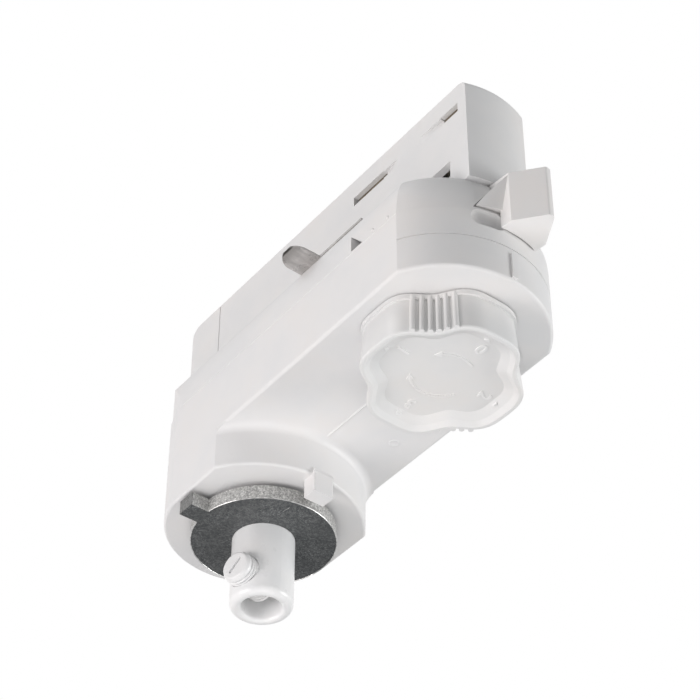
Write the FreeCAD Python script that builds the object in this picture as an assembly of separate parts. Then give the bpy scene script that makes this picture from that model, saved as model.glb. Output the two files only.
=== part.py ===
import FreeCAD, Part
import math
import os
from FreeCAD import Vector

# Track light adapter with a pendant cord grip.
# Millimetres, +Z up. +X runs from the pendant axis to the selector knob.
# Heights are counted from the flat underside of the housing, and the finished pieces are then
# lowered so that z = 0 is the plane where the housing meets the track's mouth.

# Housing outline
HALF_WIDTH = 18.0
TAIL_BULGE = 2.4
TAIL_SHIFT = 2.0
TAIL_STEP = 0.3
HEAD_BULGE = 2.5
KNOB_X = 54.4
SHOULDER_Z = 14.5
HOUSING_TOP = 24.4
SHOULDER_INSET = 2.3
SKIRT_Z = 8.0
WALL = 1.8
FLOOR = 1.8
TOP_PLATE = 2.0
EDGE_FILLET = 0.7
INDEX_RIB_TOP = 6.5
INDEX_RIB_HALF = 0.6
INDEX_RIB_RISE = 0.4
SEAM_GAP = 0.25

# Pendant boss
BOSS_DROP = 9.26
BOSS_RADIUS = 21.3
BOSS_CENTRE_X = -2.5
BOSS_BLEND = 1.6
BOSS_FLOOR = 2.4
SEAT_HEIGHT = 1.09
SEAT_RADIUS = 12.4
TOOTH_WIDTH = 4.5
TOOTH_BACK = 2.7
TOOTH_RISE = 0.6
CHEEK_HEIGHT = 1.6
CHEEK_SLOPE = 1.2
TOOTH_DROP = 4.1

# Cord grip
WASHER_RADIUS = 14.13
WASHER_THICK = 3.0
WASHER_SINK_RADIUS = 6.2
WASHER_SINK_DEPTH = 0.8
TAB_WIDTH = 4.0
TAB_REACH = 17.9
TAB_X = -0.5
NOZZLE_RADIUS = 6.12
NOZZLE_LENGTH = 15.6
NOZZLE_EDGE = 1.3
MOUTH_EDGE = 0.8
STEM_RADIUS = 5.0
STEM_RISE = 5.0
CORD_BORE = 3.9
CORD_SCREW_RADIUS = 3.3
CORD_SCREW_AZIMUTH = -74.0
CORD_SCREW_UP = 5.4
CORD_SCREW_OUT = 8.3
CORD_SCREW_LENGTH = 9.3
CORD_SCREW_SLOT = 0.8
CORD_SCREW_SLOT_LENGTH = 3.6
CORD_SCREW_TURN = -44.0
NUT_FLATS = 15.0
NUT_THICK = 3.2

# Track insert
INSERT_HALF = 7.26
INSERT_HEIGHT = 26.6
INSERT_BOSS_HEIGHT = 9.0
INSERT_WALL = 1.5
INSERT_SEAM_X = -8.7
TAIL_SETBACK = 1.4
HEAD_SETBACK = 1.0
TAIL_CORNER = 2.6
HEAD_CORNER = 1.8
FOOT_GAP = 0.9
FOOT_GAP_END = 50.0
WINDOW_DROP = 7.0
WINDOW_HEIGHT = 2.3
HEAD_WINDOW = (10.6, 15.7)
TAIL_WINDOW = (6.9, 16.5)
HEAD_RAMP = 4.4
TAIL_RAMP = 2.4
RAMP_DEPTH = 1.0

# Locking lever and cam
LEVER_REST = 5.5
LEVER_SWING = 85.0
ARM_HALF = 4.5
ARM_LIFT = 0.6
GUSSET_REACH = 6.0
HUB_RADIUS = 9.0
POCKET_DEPTH = 9.0
THUMB_TAB_HEIGHT = 12.6
THUMB_TAB_TIP = 8.1
THUMB_TAB_SIDE = 2.3
TAB_BLUNT = 0.6
NOTCH_NEAR = -22.0
NOTCH_SLANT = 17.0
SCOOP_NEAR = -18.0
SCOOP_FAR = -9.0
SCOOP_RADIUS = 2.0
SCOOP_DEPTH = 1.4
SCOOP_LIP = 0.4
SCOOP_MARGIN = 12.0
CATCH_X = 0.9
CATCH_LENGTH = 3.3
CATCH_HEIGHT = 4.4
CATCH_RISE = 0.6
CATCH_DEPTH = 3.4
CAM_SPINDLE = 4.4
CAM_TIP = 12.6
CAM_HALF = 4.2
CAM_WINDOW_RISE = 4.1
CAM_WINDOW_HEIGHT = 4.0
CAM_WINDOW_HALF = 13.0
CAM_WINDOW_OPEN = 11.8
CAM_WINDOW_DEPTH = 0.9

# Selector
SHAFT_RADIUS = 3.1
KNOB_DROP = 9.5
KNOB_BASE_MEAN = 14.25
KNOB_BASE_LOBE = 0.9
KNOB_FACE_MEAN = 14.95
KNOB_FACE_LOBE = 1.0
KNOB_FLAT = 0.45
KNOB_BASE_LIP = 0.5
KNOB_EDGE = 0.4
DISH_DEPTH = 1.7
DISH_MARGIN = 0.9
DISH_SLOPE = 2.8
GRIP_RIBS = 6
GRIP_STEP = 6.1
GRIP_RIB_RADIUS = 0.5
GRIP_RIB_RISE = 0.15
NECK_RADIUS = 7.0
FLANGE_RADIUS = 9.4
FLANGE_THICK = 1.4
ROTOR_RADIUS = 3.9
LOBE_RADIUS = 4.55

# Earth strip and contact blades
STRIP_X0 = 32.3
STRIP_WIDTH = 6.2
STRIP_THICK = 0.4
WING_THICK = 0.5
WING_NEAR_X = 51.3
WING_FAR_X = 48.8
WING_WIDTH = 3.4
WING_OVERHANG = 0.25
TONGUE_BEND = 18.5
TONGUE_REACH = 21.6
TONGUE_CORNER = 2.9
TONGUE_CURL = 9.0
BLADE_THICK = 0.5
BLADE_Y = 5.0
HEAD_BLADE_ROOT = 6.4
TAIL_BLADE_ROOT = 8.8
BLADE_NOSE = 6.3

# Terminals and fasteners
BLOCK_X0 = 22.0
BLOCK_X1 = 40.0
BLOCK_HALF = 11.0
BLOCK_TOP = 14.0
BLOCK_WAYS = 4
SCREW_RADIUS = 1.3
SCREW_HEAD = 2.4
SCREW_HEAD_THICK = 1.4
SCREW_SLOT = 0.5
CASE_SCREW_LENGTH = 17.0
INSERT_SCREW_LENGTH = 8.0
TERMINAL_SCREW_LENGTH = 5.0
DETENT_LENGTH = 6.0
DETENT_HEIGHT = 3.0
DETENT_THICK = 0.4
CASE_SCREW_X = (10.0, 44.0)
CASE_SCREW_Y = 11.8
INSERT_SCREW_X = (2.0, 27.0)

# Clearances
TURN_GAP = 0.1
RUN_GAP = 0.3

TAIL_REACH = HALF_WIDTH + TAIL_BULGE
TAIL_RADIUS = TAIL_REACH - TAIL_SHIFT
HEAD_RADIUS = HALF_WIDTH + HEAD_BULGE
BOSS_FACE_X = BOSS_CENTRE_X + BOSS_RADIUS
TOOTH_X0 = BOSS_FACE_X - TOOTH_BACK
TOOTH_X1 = BOSS_FACE_X + TOOTH_RISE
POCKET_FLOOR = HOUSING_TOP - POCKET_DEPTH
ARM_BASE = POCKET_FLOOR + ARM_LIFT
TAB_BOTTOM = HOUSING_TOP - THUMB_TAB_HEIGHT
TAB_REACH_OUT = HEAD_RADIUS + THUMB_TAB_TIP
TAB_SHOULDER = HEAD_RADIUS + THUMB_TAB_SIDE
INSERT_TOP = HOUSING_TOP + INSERT_HEIGHT
WINDOW_BASE = INSERT_TOP - WINDOW_DROP
WINDOW_TOP = WINDOW_BASE + WINDOW_HEIGHT
CAM_WINDOW_BASE = HOUSING_TOP + CAM_WINDOW_RISE
CAM_WINDOW_TOP = CAM_WINDOW_BASE + CAM_WINDOW_HEIGHT
AXIS = Vector(KNOB_X, 0, 0)
UP = Vector(0, 0, 1)
WASHER_TOP = -BOSS_DROP - SEAT_HEIGHT
WASHER_BASE = WASHER_TOP - WASHER_THICK
NOZZLE_END = WASHER_BASE - NOZZLE_LENGTH
INSERT_TAIL = -(TAIL_REACH - TAIL_SETBACK)
INSERT_HEAD = HEAD_RADIUS - HEAD_SETBACK
INSERT_INNER = INSERT_HALF - INSERT_WALL
FAR = 200.0


def box(x0, x1, y0, y1, z0, z1):
    return Part.makeBox(x1 - x0, y1 - y0, z1 - z0, Vector(x0, y0, z0))


def rod(radius, z0, z1, centre=Vector(0, 0, 0)):
    return Part.makeCylinder(radius, z1 - z0, Vector(centre.x, centre.y, z0), UP)


def tube(outer, inner, z0, z1, centre=Vector(0, 0, 0)):
    return rod(outer, z0, z1, centre).cut(rod(inner, z0 - 1, z1 + 1, centre))


def prism(points, z0, z1):
    corners = [Vector(x, y, z0) for x, y in points]
    wire = Part.makePolygon(corners + corners[:1])
    return Part.Face(wire).extrude(Vector(0, 0, z1 - z0))


def turned(shape, angle, centre=AXIS):
    copy = shape.copy()
    copy.rotate(centre, UP, angle)
    return copy


def polar(radius, angle, centre=AXIS):
    a = math.radians(angle)
    return (centre.x + radius * math.cos(a), centre.y + radius * math.sin(a))


def sector(radius, start, end, z0, z1, steps=6):
    """Pie slice about the knob axis."""
    points = [(KNOB_X, 0)]
    for k in range(steps + 1):
        points.append(polar(radius, start + (end - start) * k / steps))
    return prism(points, z0, z1)


def outline(inset, z, tail_inset=None):
    """Plan of the housing: two flats and two end arcs that meet them at a corner."""
    half = HALF_WIDTH - inset
    tail = TAIL_RADIUS - (inset if tail_inset is None else tail_inset)
    head = HEAD_RADIUS - inset
    x_tail = -TAIL_SHIFT - math.sqrt(tail ** 2 - half ** 2)
    x_head = KNOB_X + math.sqrt(head ** 2 - half ** 2)
    near_tail = Vector(x_tail, -half, z)
    near_head = Vector(x_head, -half, z)
    far_head = Vector(x_head, half, z)
    far_tail = Vector(x_tail, half, z)
    edges = [
        Part.LineSegment(near_tail, near_head).toShape(),
        Part.Arc(near_head, Vector(KNOB_X + head, 0, z), far_head).toShape(),
        Part.LineSegment(far_head, far_tail).toShape(),
        Part.Arc(far_tail, Vector(-TAIL_SHIFT - tail, 0, z), near_tail).toShape(),
    ]
    return Part.Wire(edges)


def housing_block(inset, z0, z1):
    return Part.Face(outline(inset, z0)).extrude(Vector(0, 0, z1 - z0))


def corner_x():
    return KNOB_X + math.sqrt(HEAD_RADIUS ** 2 - HALF_WIDTH ** 2)


def screw(x, y, z_head, length, up=True):
    """Pan-head screw with a cross slot, its shank pointing up or down from the head's seat."""
    side = 1 if up else -1
    head = Part.makeCylinder(SCREW_HEAD, SCREW_HEAD_THICK, Vector(x, y, z_head), Vector(0, 0, -side))
    shank = Part.makeCylinder(SCREW_RADIUS, length, Vector(x, y, z_head), Vector(0, 0, side))
    body = head.fuse(shank)
    reach = SCREW_HEAD * 0.62
    face = z_head - side * SCREW_HEAD_THICK
    for a in (0, 90):
        slot = box(x - reach, x + reach, y - SCREW_SLOT / 2, y + SCREW_SLOT / 2, face - SCREW_SLOT, face + SCREW_SLOT)
        slot.rotate(Vector(x, y, 0), UP, a)
        body = body.cut(slot)
    return body


def shoulder_shell():
    """Rounded shoulder above the vertical walls, drawn through four plans; the tail stays upright."""
    rise = HOUSING_TOP - SHOULDER_Z
    sections = [
        outline(0.0, SHOULDER_Z, TAIL_STEP),
        outline(0.10 * SHOULDER_INSET, SHOULDER_Z + 0.30 * rise, TAIL_STEP),
        outline(0.42 * SHOULDER_INSET, SHOULDER_Z + 0.72 * rise, TAIL_STEP),
        outline(SHOULDER_INSET, HOUSING_TOP, TAIL_STEP),
    ]
    return Part.makeLoft(sections, True, False)


def lever_notch():
    """Recess that the lever's arm sweeps, with the slanted near edge that it stops against."""
    last = LEVER_REST + LEVER_SWING
    slope = NOTCH_SLANT * (HOUSING_TOP + 1 - POCKET_FLOOR) / (HOUSING_TOP - POCKET_FLOOR)
    reach = HEAD_RADIUS + 12
    hub = rod(HUB_RADIUS + RUN_GAP, POCKET_FLOOR, HOUSING_TOP + 1, AXIS)
    sweep = sector(reach, LEVER_REST - 2, last, POCKET_FLOOR, HOUSING_TOP + 1, 8)
    wires = []
    for angle, z in ((NOTCH_NEAR, POCKET_FLOOR), (NOTCH_NEAR + slope, HOUSING_TOP + 1)):
        points = [(KNOB_X, 0), polar(reach, angle), polar(reach, LEVER_REST)]
        corners = [Vector(x, y, z) for x, y in points]
        wires.append(Part.makePolygon(corners + corners[:1]))
    near = Part.makeLoft(wires, True, True)
    arm = box(KNOB_X, KNOB_X + reach, -ARM_HALF - RUN_GAP, ARM_HALF + RUN_GAP, POCKET_FLOOR, HOUSING_TOP + 1)
    arm_rest = turned(arm, LEVER_REST)
    arm_last = turned(arm, LEVER_REST + LEVER_SWING)
    return hub.fuse([sweep, near, arm_rest, arm_last])


def lever_scoop():
    """Shallow round-bottomed hollow in the wall under the lever's arm, for a fingertip."""
    reach = HEAD_RADIUS + SCOOP_RADIUS - SCOOP_DEPTH
    half_height = math.sqrt(SCOOP_RADIUS ** 2 - (SCOOP_RADIUS - SCOOP_DEPTH) ** 2)
    z = POCKET_FLOOR - SCOOP_LIP - half_height
    ring = Part.makeTorus(reach, SCOOP_RADIUS, Vector(KNOB_X, 0, z), UP)
    ring = ring.common(sector(FAR, SCOOP_NEAR, SCOOP_FAR, 0, HOUSING_TOP))
    ends = []
    for angle in (SCOOP_NEAR, SCOOP_FAR):
        x, y = polar(reach, angle)
        ends.append(Part.makeSphere(SCOOP_RADIUS, Vector(x, y, z)))
    return ring.fuse(ends)


def upper_housing():
    skirt = housing_block(0.0, SKIRT_Z, SHOULDER_Z)
    skirt = skirt.common(box(corner_x(), FAR, -FAR, FAR, SKIRT_Z, SHOULDER_Z))
    body = shoulder_shell().fuse(skirt)
    outer = body.copy()
    ceiling = HOUSING_TOP - TOP_PLATE
    inside = housing_block(WALL + SHOULDER_INSET, SKIRT_Z - 1, ceiling)
    lower_inside = housing_block(WALL, SKIRT_Z - 1, SHOULDER_Z)
    body = body.cut(inside.fuse(lower_inside))
    pocket_floor = rod(HUB_RADIUS + RUN_GAP + WALL, POCKET_FLOOR - WALL, ceiling + 0.1, AXIS)
    notch = lever_notch()
    shelf = housing_block(WALL, POCKET_FLOOR - WALL, POCKET_FLOOR)
    under_slot = sector(FAR, NOTCH_NEAR - 12, LEVER_REST + LEVER_SWING + 21, 0, HOUSING_TOP, 8)
    shelf = shelf.common(under_slot.fuse(rod(HUB_RADIUS + RUN_GAP + WALL, 0, HOUSING_TOP, AXIS)))
    shoulder_limit = housing_block(SHOULDER_INSET * 0.3, POCKET_FLOOR - WALL, HOUSING_TOP)
    near_wall = box(KNOB_X + HUB_RADIUS, KNOB_X + HEAD_RADIUS - 2, -11.5, -1.0, POCKET_FLOOR - WALL,
                    ceiling + 0.1)
    scoop_back = tube(HEAD_RADIUS - WALL / 2, HEAD_RADIUS - SCOOP_DEPTH - WALL, SKIRT_Z, POCKET_FLOOR, AXIS)
    behind = sector(FAR, SCOOP_NEAR - SCOOP_MARGIN, SCOOP_FAR + SCOOP_MARGIN, 0, HOUSING_TOP)
    scoop_back = scoop_back.common(behind)
    body = body.fuse([pocket_floor.common(shoulder_limit), shelf, near_wall.common(outer)])
    body = body.fuse(scoop_back)
    posts = [rod(SCREW_HEAD + 0.9, SHOULDER_Z, ceiling + 0.1, Vector(x, y, 0))
             for x in CASE_SCREW_X for y in (-CASE_SCREW_Y, CASE_SCREW_Y)]
    body = body.fuse(posts)
    body = body.cut(notch).cut(lever_scoop())
    body = body.cut(rod(CAM_SPINDLE + TURN_GAP, POCKET_FLOOR - WALL - 1, HOUSING_TOP + 1, AXIS))
    for x in CASE_SCREW_X:
        for y in (-CASE_SCREW_Y, CASE_SCREW_Y):
            body = body.cut(rod(SCREW_RADIUS, SHOULDER_Z - 1, HOUSING_TOP + 1, Vector(x, y, 0)))
            body = body.cut(rod(SCREW_HEAD + 0.2, HOUSING_TOP - SCREW_HEAD_THICK, HOUSING_TOP + 1, Vector(x, y, 0)))
    for x in INSERT_SCREW_X + (STRIP_X0 + STRIP_WIDTH / 2,):
        body = body.cut(rod(SCREW_RADIUS, ceiling - 1, HOUSING_TOP + 1, Vector(x, 0, 0)))
    bevel = housing_block(-1, SHOULDER_Z - 1, SHOULDER_Z + SEAM_GAP)
    bevel = bevel.cut(Part.makeLoft([outline(SEAM_GAP, SHOULDER_Z), outline(0, SHOULDER_Z + SEAM_GAP)], True, True))
    bevel = bevel.common(box(-FAR, corner_x(), -FAR, FAR, SHOULDER_Z, HOUSING_TOP))
    return body.cut(catch_pocket()).cut(bevel)


def catch_pocket():
    """Small triangular pocket in the near shoulder, beside the knob."""
    x0 = KNOB_X - 4.4 + CATCH_X
    z0 = SHOULDER_Z + CATCH_RISE
    points = [(x0, z0), (x0 + CATCH_LENGTH, z0), (x0 - 0.5, z0 + CATCH_HEIGHT)]
    corners = [Vector(x, -HALF_WIDTH - 1, z) for x, z in points]
    face = Part.Face(Part.makePolygon(corners + corners[:1]))
    return face.extrude(Vector(0, 1 + CATCH_DEPTH, 0))


def boss():
    plan = housing_block(0.0, -BOSS_DROP, EDGE_FILLET + 0.1)
    round_face = rod(BOSS_RADIUS, -BOSS_DROP, EDGE_FILLET + 0.1, Vector(BOSS_CENTRE_X, 0, 0))
    return plan.common(round_face)


def boss_blend():
    """Concave fillet where the boss's round face meets the flat underside."""
    r0 = BOSS_RADIUS - 0.05
    r1 = BOSS_RADIUS + BOSS_BLEND
    corner = Vector(r0, 0, 0.05)
    a = Vector(r1, 0, 0.05)
    b = Vector(r1, 0, 0)
    c = Vector(BOSS_RADIUS, 0, -BOSS_BLEND)
    d = Vector(r0, 0, -BOSS_BLEND)
    s = BOSS_BLEND * (1 - math.sqrt(0.5))
    middle = Vector(BOSS_RADIUS + s, 0, -s)
    edges = [
        Part.LineSegment(corner, a).toShape(),
        Part.LineSegment(a, b).toShape(),
        Part.Arc(b, middle, c).toShape(),
        Part.LineSegment(c, d).toShape(),
        Part.LineSegment(d, corner).toShape(),
    ]
    ring = Part.Face(Part.Wire(edges)).revolve(Vector(0, 0, 0), UP, 360)
    ring.translate(Vector(BOSS_CENTRE_X, 0, 0))
    return ring.common(housing_block(0.0, -BOSS_BLEND, 0.05)).common(box(0, FAR, -FAR, FAR, -FAR, FAR))


def lower_cover():
    body = housing_block(0.0, 0.0, SHOULDER_Z)
    body = body.cut(box(corner_x(), FAR, -FAR, FAR, SKIRT_Z, SHOULDER_Z + 1))
    rim = [e for e in body.Edges if abs(e.BoundBox.ZMax) < 1e-6 and abs(e.BoundBox.ZMin) < 1e-6
           and e.BoundBox.XMax > BOSS_FACE_X]
    body = body.makeFillet(EDGE_FILLET, rim)
    knob_boss = boss()
    lower = [e for e in knob_boss.Edges if abs(e.BoundBox.ZMax + BOSS_DROP) < 1e-6]
    knob_boss = knob_boss.makeFillet(EDGE_FILLET * 0.8, lower)
    body = body.fuse([knob_boss, boss_blend()])
    body = body.cut(housing_block(WALL, FLOOR, SHOULDER_Z + 1))
    hollow = housing_block(WALL, -BOSS_DROP + BOSS_FLOOR, FLOOR + 1)
    hollow = hollow.common(rod(BOSS_RADIUS - WALL, -BOSS_DROP, FLOOR + 1, Vector(BOSS_CENTRE_X, 0, 0)))
    body = body.cut(hollow)
    seat = rod(SEAT_RADIUS, WASHER_TOP, -BOSS_DROP + 0.1)
    tooth = box(TOOTH_X0, TOOTH_X1, -TOOTH_WIDTH / 2, TOOTH_WIDTH / 2, -BOSS_DROP - TOOTH_DROP, -BOSS_DROP + 0.5)
    upright = [e for e in tooth.Edges if e.BoundBox.ZLength > 1 and e.BoundBox.XMin > TOOTH_X0 + 0.5]
    tooth = tooth.makeFillet(0.4, upright)
    cheek_top = -BOSS_DROP + CHEEK_HEIGHT
    section = [(BOSS_FACE_X - WALL, -BOSS_DROP), (TOOTH_X1, -BOSS_DROP), (TOOTH_X1, cheek_top - CHEEK_SLOPE),
               (BOSS_FACE_X, cheek_top), (BOSS_FACE_X - WALL, cheek_top)]
    corners = [Vector(x, -TOOTH_WIDTH / 2, z) for x, z in section]
    cheek = Part.Face(Part.makePolygon(corners + corners[:1])).extrude(Vector(0, TOOTH_WIDTH, 0))
    body = body.fuse([seat, tooth, cheek])
    screw_depth = HOUSING_TOP - SCREW_HEAD_THICK - CASE_SCREW_LENGTH
    for x in CASE_SCREW_X:
        for y in (-CASE_SCREW_Y, CASE_SCREW_Y):
            body = body.fuse(rod(SCREW_HEAD + 0.9, FLOOR - 0.1, SHOULDER_Z, Vector(x, y, 0)))
            if x < BOSS_FACE_X:
                low = rod(SCREW_HEAD + 0.9, -BOSS_DROP + BOSS_FLOOR - 0.1, FLOOR, Vector(x, y, 0))
                body = body.fuse(low.common(rod(BOSS_RADIUS - WALL / 2, -FAR, FAR, Vector(BOSS_CENTRE_X, 0, 0))))
            body = body.cut(rod(SCREW_RADIUS, screw_depth - 0.5, SHOULDER_Z + 1, Vector(x, y, 0)))
    index_rib = box(KNOB_X + HEAD_RADIUS - 0.3, KNOB_X + HEAD_RADIUS + INDEX_RIB_RISE, -INDEX_RIB_HALF,
                    INDEX_RIB_HALF, EDGE_FILLET, INDEX_RIB_TOP)
    body = body.fuse(index_rib)
    body = body.cut(rod(STEM_RADIUS + TURN_GAP, WASHER_TOP - 1, 0))
    body = body.cut(rod(NECK_RADIUS + TURN_GAP, -1, FLOOR + 1, AXIS))
    seam = housing_block(-1, SKIRT_Z - SEAM_GAP, SKIRT_Z).cut(housing_block(SEAM_GAP, 0, SHOULDER_Z))
    return body.cut(seam.common(box(corner_x(), FAR, -FAR, FAR, 0, SKIRT_Z)))


def pendant_washer():
    disc = rod(WASHER_RADIUS, WASHER_BASE, WASHER_TOP)
    tab = box(TAB_X - TAB_WIDTH / 2, TAB_X + TAB_WIDTH / 2, -TAB_REACH, 0, WASHER_BASE, WASHER_TOP)
    sink = rod(WASHER_SINK_RADIUS, WASHER_BASE - 1, WASHER_BASE + WASHER_SINK_DEPTH)
    return disc.fuse(tab).cut([rod(STEM_RADIUS + TURN_GAP, WASHER_BASE - 1, WASHER_TOP + 1), sink])


def screw_direction():
    a = math.radians(CORD_SCREW_AZIMUTH)
    return Vector(math.cos(a), math.sin(a), 0)


def cord_grip_nozzle():
    barrel = rod(NOZZLE_RADIUS, NOZZLE_END, WASHER_BASE + WASHER_SINK_DEPTH)
    rim = [e for e in barrel.Edges if abs(e.BoundBox.ZMax - NOZZLE_END) < 1e-6]
    barrel = barrel.makeFillet(NOZZLE_EDGE, rim)
    stem = rod(STEM_RADIUS, WASHER_BASE - 0.1, -BOSS_DROP + BOSS_FLOOR + STEM_RISE)
    body = barrel.fuse(stem).cut(rod(CORD_BORE, NOZZLE_END - 1, FAR))
    mouth = [e for e in body.Edges if abs(e.BoundBox.ZMax - NOZZLE_END) < 1e-6 and e.BoundBox.XMax < CORD_BORE + 0.1]
    body = body.makeFillet(MOUTH_EDGE, mouth)
    hole = Part.makeCylinder(CORD_SCREW_RADIUS + TURN_GAP / 2, NOZZLE_RADIUS + 2,
                             Vector(0, 0, NOZZLE_END + CORD_SCREW_UP), screw_direction())
    return body.cut(hole)


def cord_screw():
    out = screw_direction()
    start = Vector(0, 0, NOZZLE_END + CORD_SCREW_UP) + out * (CORD_SCREW_OUT - CORD_SCREW_LENGTH)
    body = Part.makeCylinder(CORD_SCREW_RADIUS, CORD_SCREW_LENGTH, start, out)
    head_edge = max(body.Edges, key=lambda e: e.CenterOfMass.dot(out))
    body = body.makeFillet(0.35, [head_edge])
    half = CORD_SCREW_SLOT_LENGTH / 2
    slot = box(CORD_SCREW_OUT - 1.0, CORD_SCREW_OUT + 1, -CORD_SCREW_SLOT / 2, CORD_SCREW_SLOT / 2, -half, half)
    slot.rotate(Vector(0, 0, 0), Vector(1, 0, 0), CORD_SCREW_TURN)
    slot.rotate(Vector(0, 0, 0), UP, CORD_SCREW_AZIMUTH)
    slot.translate(Vector(0, 0, NOZZLE_END + CORD_SCREW_UP))
    return body.cut(slot)


def grip_lock_nut():
    z0 = -BOSS_DROP + BOSS_FLOOR
    radius = NUT_FLATS / math.sqrt(3)
    points = [(radius * math.cos(math.radians(60 * k)), radius * math.sin(math.radians(60 * k))) for k in range(6)]
    return prism(points, z0, z0 + NUT_THICK).cut(rod(STEM_RADIUS + TURN_GAP, z0 - 1, z0 + NUT_THICK + 1))


def insert_outer():
    """The whole insert: flat sides, a rounded top corner at the tail and a convex head."""
    head_x = KNOB_X + math.sqrt(INSERT_HEAD ** 2 - INSERT_HALF ** 2)
    z0 = HOUSING_TOP
    a = Vector(INSERT_TAIL, -INSERT_HALF, z0)
    b = Vector(head_x, -INSERT_HALF, z0)
    c = Vector(head_x, INSERT_HALF, z0)
    d = Vector(INSERT_TAIL, INSERT_HALF, z0)
    plan = Part.Wire([
        Part.LineSegment(a, b).toShape(),
        Part.Arc(b, Vector(KNOB_X + INSERT_HEAD, 0, z0), c).toShape(),
        Part.LineSegment(c, d).toShape(),
        Part.LineSegment(d, a).toShape(),
    ])
    body = Part.Face(plan).extrude(Vector(0, 0, INSERT_TOP - z0))
    top = [e for e in body.Edges if abs(e.BoundBox.ZMin - INSERT_TOP) < 1e-6]
    head = [e for e in top if e.BoundBox.XMin > KNOB_X]
    body = body.makeFillet(HEAD_CORNER, head)
    tail = [e for e in body.Edges if abs(e.BoundBox.ZMin - INSERT_TOP) < 1e-6 and e.BoundBox.XMax < INSERT_TAIL + 1]
    body = body.makeFillet(TAIL_CORNER, tail)
    return body


def insert_windows(body):
    """Contact windows with their ramps, and the long slots for the cam, alike on both sides."""
    level = WINDOW_BASE
    for side in (-1, 1):
        inner, outer = sorted((side * (INSERT_INNER - 0.5), side * (INSERT_HALF + 1)))
        for end, window, ramp_start in ((1, HEAD_WINDOW, HEAD_RAMP), (-1, TAIL_WINDOW, TAIL_RAMP)):
            x0, x1 = sorted((KNOB_X + end * window[0], KNOB_X + end * window[1]))
            body = body.cut(box(x0, x1, inner, outer, level, WINDOW_TOP))
            start = KNOB_X + end * ramp_start
            near = KNOB_X + end * window[0]
            face = side * (INSERT_HALF + 0.01)
            ramp = prism([(start, face), (near, face - side * RAMP_DEPTH), (near, face)], level + 0.2, WINDOW_TOP - 0.2)
            body = body.cut(ramp)
        slot = box(KNOB_X - CAM_WINDOW_OPEN, KNOB_X + CAM_WINDOW_OPEN, inner, outer, CAM_WINDOW_BASE, CAM_WINDOW_TOP)
        y0, y1 = sorted((side * (INSERT_HALF - CAM_WINDOW_DEPTH), side * (INSERT_HALF + 1)))
        rebate = box(KNOB_X - CAM_WINDOW_HALF, KNOB_X + CAM_WINDOW_HALF, y0, y1, CAM_WINDOW_BASE, CAM_WINDOW_TOP)
        body = body.cut(slot).cut(rebate)
    return body


def insert_body():
    body = insert_outer().common(box(INSERT_SEAM_X, FAR, -FAR, FAR, 0, FAR))
    inside = box(INSERT_SEAM_X + INSERT_WALL, KNOB_X + INSERT_HEAD - 2.4, -INSERT_INNER, INSERT_INNER,
                 HOUSING_TOP + INSERT_WALL, INSERT_TOP - INSERT_WALL)
    body = body.cut(inside)
    boss_top = HOUSING_TOP + INSERT_BOSS_HEIGHT
    strip_screw = Vector(STRIP_X0 + STRIP_WIDTH / 2, 0, 0)
    bosses = [rod(SCREW_RADIUS + 1.2, HOUSING_TOP, boss_top, Vector(x, 0, 0)) for x in INSERT_SCREW_X]
    earth_boss = rod(SCREW_RADIUS + 1.2, HOUSING_TOP + FOOT_GAP, boss_top, strip_screw)
    body = body.fuse(bosses + [earth_boss])
    body = insert_windows(body)
    body = body.cut(box(STRIP_X0 - 0.2, FOOT_GAP_END, -INSERT_HALF - 1, INSERT_HALF + 1, HOUSING_TOP - 1,
                        HOUSING_TOP + FOOT_GAP))
    hole_top = HOUSING_TOP - TOP_PLATE + INSERT_SCREW_LENGTH + 0.5
    for x in INSERT_SCREW_X:
        body = body.cut(rod(SCREW_RADIUS, HOUSING_TOP - 1, hole_top, Vector(x, 0, 0)))
    body = body.cut(rod(CAM_SPINDLE + TURN_GAP, HOUSING_TOP - 1, HOUSING_TOP + INSERT_WALL + 1, AXIS))
    bush = rod(SHAFT_RADIUS + 1.6, INSERT_TOP - INSERT_WALL - 1.6, INSERT_TOP - INSERT_WALL + 0.1, AXIS)
    body = body.fuse(bush)
    body = body.cut(rod(SHAFT_RADIUS + TURN_GAP, 0, INSERT_TOP - INSERT_WALL, AXIS))
    return body.cut(rod(SCREW_RADIUS, HOUSING_TOP - 1, hole_top, strip_screw))


def insert_end_cap():
    cap = insert_outer().common(box(-FAR, INSERT_SEAM_X, -FAR, FAR, 0, FAR))
    hollow = box(INSERT_TAIL + INSERT_WALL + 1, INSERT_SEAM_X + 1, -INSERT_INNER, INSERT_INNER,
                 HOUSING_TOP + INSERT_WALL, INSERT_TOP - INSERT_WALL - 1)
    rebate = box(INSERT_SEAM_X - SEAM_GAP, INSERT_SEAM_X, -FAR, FAR, 0, FAR)
    half = INSERT_HALF - SEAM_GAP
    rebate = rebate.cut(box(INSERT_SEAM_X - 1, INSERT_SEAM_X + 1, -half, half, 0, INSERT_TOP - SEAM_GAP))
    return cap.cut(hollow).cut(rebate)


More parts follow.
